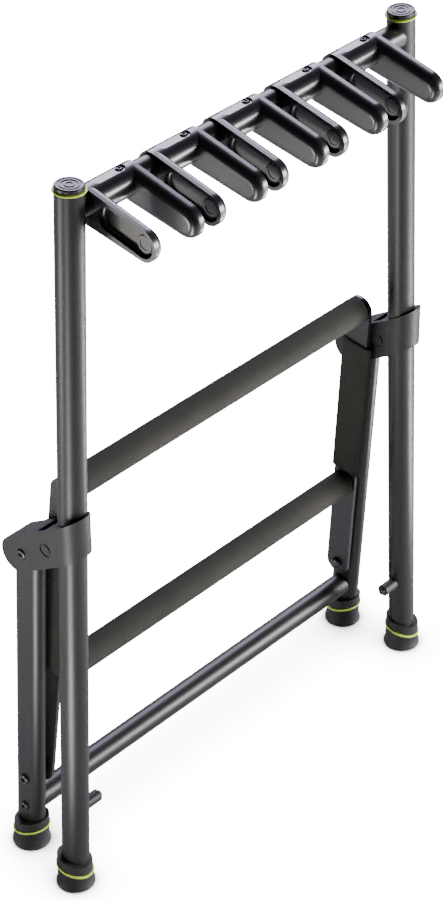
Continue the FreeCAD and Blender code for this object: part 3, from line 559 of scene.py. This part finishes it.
# Each light: name, place, what it faces, width, height, share of the key's power, colour.
LIGHTS = (("low_front_right", (1.7, -2.3, 0.8), RACK_MIDDLE, 1.2, 1.1, 2.6, (1.0, 1.0, 1.0)),
          ("high_back", (2.1, 2.0, 2.5), RACK_MIDDLE, 2.2, 1.8, 2.2, (0.82, 0.8, 1.0)),
          ("under_left", (-1.25, 0.55, 0.03), CRADLES_LEFT, 0.4, 0.3, 0.16, (1.0, 0.96, 0.88)))
# Each strip on the floor: name, and its two ends.
STRIPS = (("left_strip", (-0.45, -0.08), (-1.6, -0.51)),
          ("right_strip", (0.44, -0.22), (1.16, -1.05)))
STRIP_WIDTH, STRIP_HEIGHT, STRIP_SHARE = 0.12, 0.01, 0.2
STRIP_COLOUR = (1.0, 0.99, 0.95)


def soft_light(name, place, target, width, height, power, colour):
    """A rectangular studio light that faces a point."""
    data = bpy.data.lights.new(name, "AREA")
    data.shape = "RECTANGLE"
    data.size = width
    data.size_y = height
    data.energy = power
    data.color = colour
    light = bpy.data.objects.new(name, data)
    light.location = place
    light.rotation_euler = (Vector(target) - Vector(place)).to_track_quat("-Z", "Y").to_euler()
    bpy.context.collection.objects.link(light)
    return light


def floor_strip(name, start, end, width, power):
    """A narrow light low over the floor that shines up, for the posts to mirror."""
    place = Vector(((start[0] + end[0]) / 2, (start[1] + end[1]) / 2, STRIP_HEIGHT))
    along = Vector(end) - Vector(start)
    strip = soft_light(name, place, place + Vector((0, 0, 1)), along.length, width, power,
                       STRIP_COLOUR)
    strip.rotation_euler = (math.pi, 0.0, math.atan2(along.y, along.x))


class RACK_OT_stage(bpy.types.Operator):
    """Sets up the floor, the lights, the surround and the camera"""

    bl_idname = "rack.stage"
    bl_label = "Stage"

    def execute(self, context):
        settings = context.scene.rack_stage
        mesh = bpy.data.meshes.new("floor")
        corners = [(x * FLOOR_REACH, y * FLOOR_REACH, 0)
                   for x, y in ((-1, -1), (1, -1), (1, 1), (-1, 1))]
        mesh.from_pydata(corners, [], [(0, 1, 2, 3)])
        floor = bpy.data.objects.new("floor", mesh)
        bpy.context.collection.objects.link(floor)
        paper = Finish("floor_paper", 0.75)
        cloud = paper.noise(1.5, 2.0)
        paper.colour(paper.blend(cloud, rgba(settings.floor, 0.99), rgba(settings.floor, 1.01)))
        paper.roughness(0.7 + cloud * 0.1)
        paper.shader.inputs["Specular IOR Level"].default_value = 0.0
        seen = paper.node("ShaderNodeLightPath", output="Is Camera Ray")
        # Ambient occlusion darkens the floor's camera-only glow near the feet and the parts close to
        # the floor: a painted contact shadow, not one cast by the lights.
        painted_shadow_ao = paper.node("ShaderNodeAmbientOcclusion", {"Distance": CONTACT_SHADOW_REACH},
                              output="AO", samples=8)
        glow = seen * paper.fit(painted_shadow_ao, 0.45, 0.95, 0.04, 1.0) ** 2.0
        paper.link(glow, paper.shader, "Emission Color")
        paper.shader.inputs["Emission Strength"].default_value = settings.backdrop
        mesh.materials.append(paper.material)

        world = bpy.data.worlds.new("surround")
        world.use_nodes = True
        sky = Tree(world.node_tree)
        seen = sky.node("ShaderNodeLightPath", output="Is Camera Ray")
        shine = seen * (settings.backdrop - settings.world) + settings.world
        sky.link(shine, world.node_tree.nodes["Background"], "Strength")
        world.node_tree.nodes["Background"].inputs["Color"].default_value = (1, 1, 1, 1)
        context.scene.world = world

        for name, place, target, width, height, share, colour in LIGHTS:
            soft_light(name, place, target, width, height, settings.key * share, colour)
        for name, start, end in STRIPS:
            floor_strip(name, start, end, STRIP_WIDTH, settings.key * STRIP_SHARE)

        data = bpy.data.cameras.new("camera")
        data.lens = settings.lens
        data.sensor_width = 36.0
        data.sensor_fit = "AUTO"
        data.clip_end = 100.0
        camera = bpy.data.objects.new("camera", data)
        up = CAMERA_RIGHT.cross(CAMERA_FORWARD)
        columns = Matrix((CAMERA_RIGHT, up, -CAMERA_FORWARD)).transposed().to_4x4()
        shifted = CAMERA_PLACE + Vector((0, post_plane_y() * MM, 0))
        camera.matrix_world = Matrix.Translation(shifted) @ columns
        bpy.context.collection.objects.link(camera)
        context.scene.camera = camera
        return {"FINISHED"}


class RACK_PT_sidebar(bpy.types.Panel):
    """Lists the steps that finish the rack"""

    bl_label = "Rack"
    bl_idname = "RACK_PT_sidebar"
    bl_space_type = "VIEW_3D"
    bl_region_type = "UI"
    bl_category = "Rack"

    def draw(self, context):
        layout = self.layout
        for operator in STEPS:
            layout.operator(operator.bl_idname)
        for group in (context.scene.rack_colours, context.scene.rack_foam, context.scene.rack_stage):
            for name in group.bl_rna.properties.keys():
                if name not in ("rna_type", "name"):
                    layout.prop(group, name)


STEPS = (RACK_OT_tubes, RACK_OT_cradles, RACK_OT_mouldings, RACK_OT_boots, RACK_OT_fasteners,
         RACK_OT_foam, RACK_OT_stage)
CLASSES = (RackColours, RackFoam, RackStage) + STEPS + (RACK_PT_sidebar,)


def register():
    for item in CLASSES:
        bpy.utils.register_class(item)
    bpy.types.Scene.rack_colours = PointerProperty(type=RackColours)
    bpy.types.Scene.rack_foam = PointerProperty(type=RackFoam)
    bpy.types.Scene.rack_stage = PointerProperty(type=RackStage)


def unregister():
    del bpy.types.Scene.rack_stage
    del bpy.types.Scene.rack_foam
    del bpy.types.Scene.rack_colours
    for item in reversed(CLASSES):
        bpy.utils.unregister_class(item)


def main():
    register()
    bpy.ops.rack.tubes()
    bpy.ops.rack.cradles()
    bpy.ops.rack.mouldings()
    bpy.ops.rack.boots()
    bpy.ops.rack.fasteners()
    bpy.ops.rack.foam()
    bpy.ops.rack.stage()


if __name__ == "__main__":
    main()
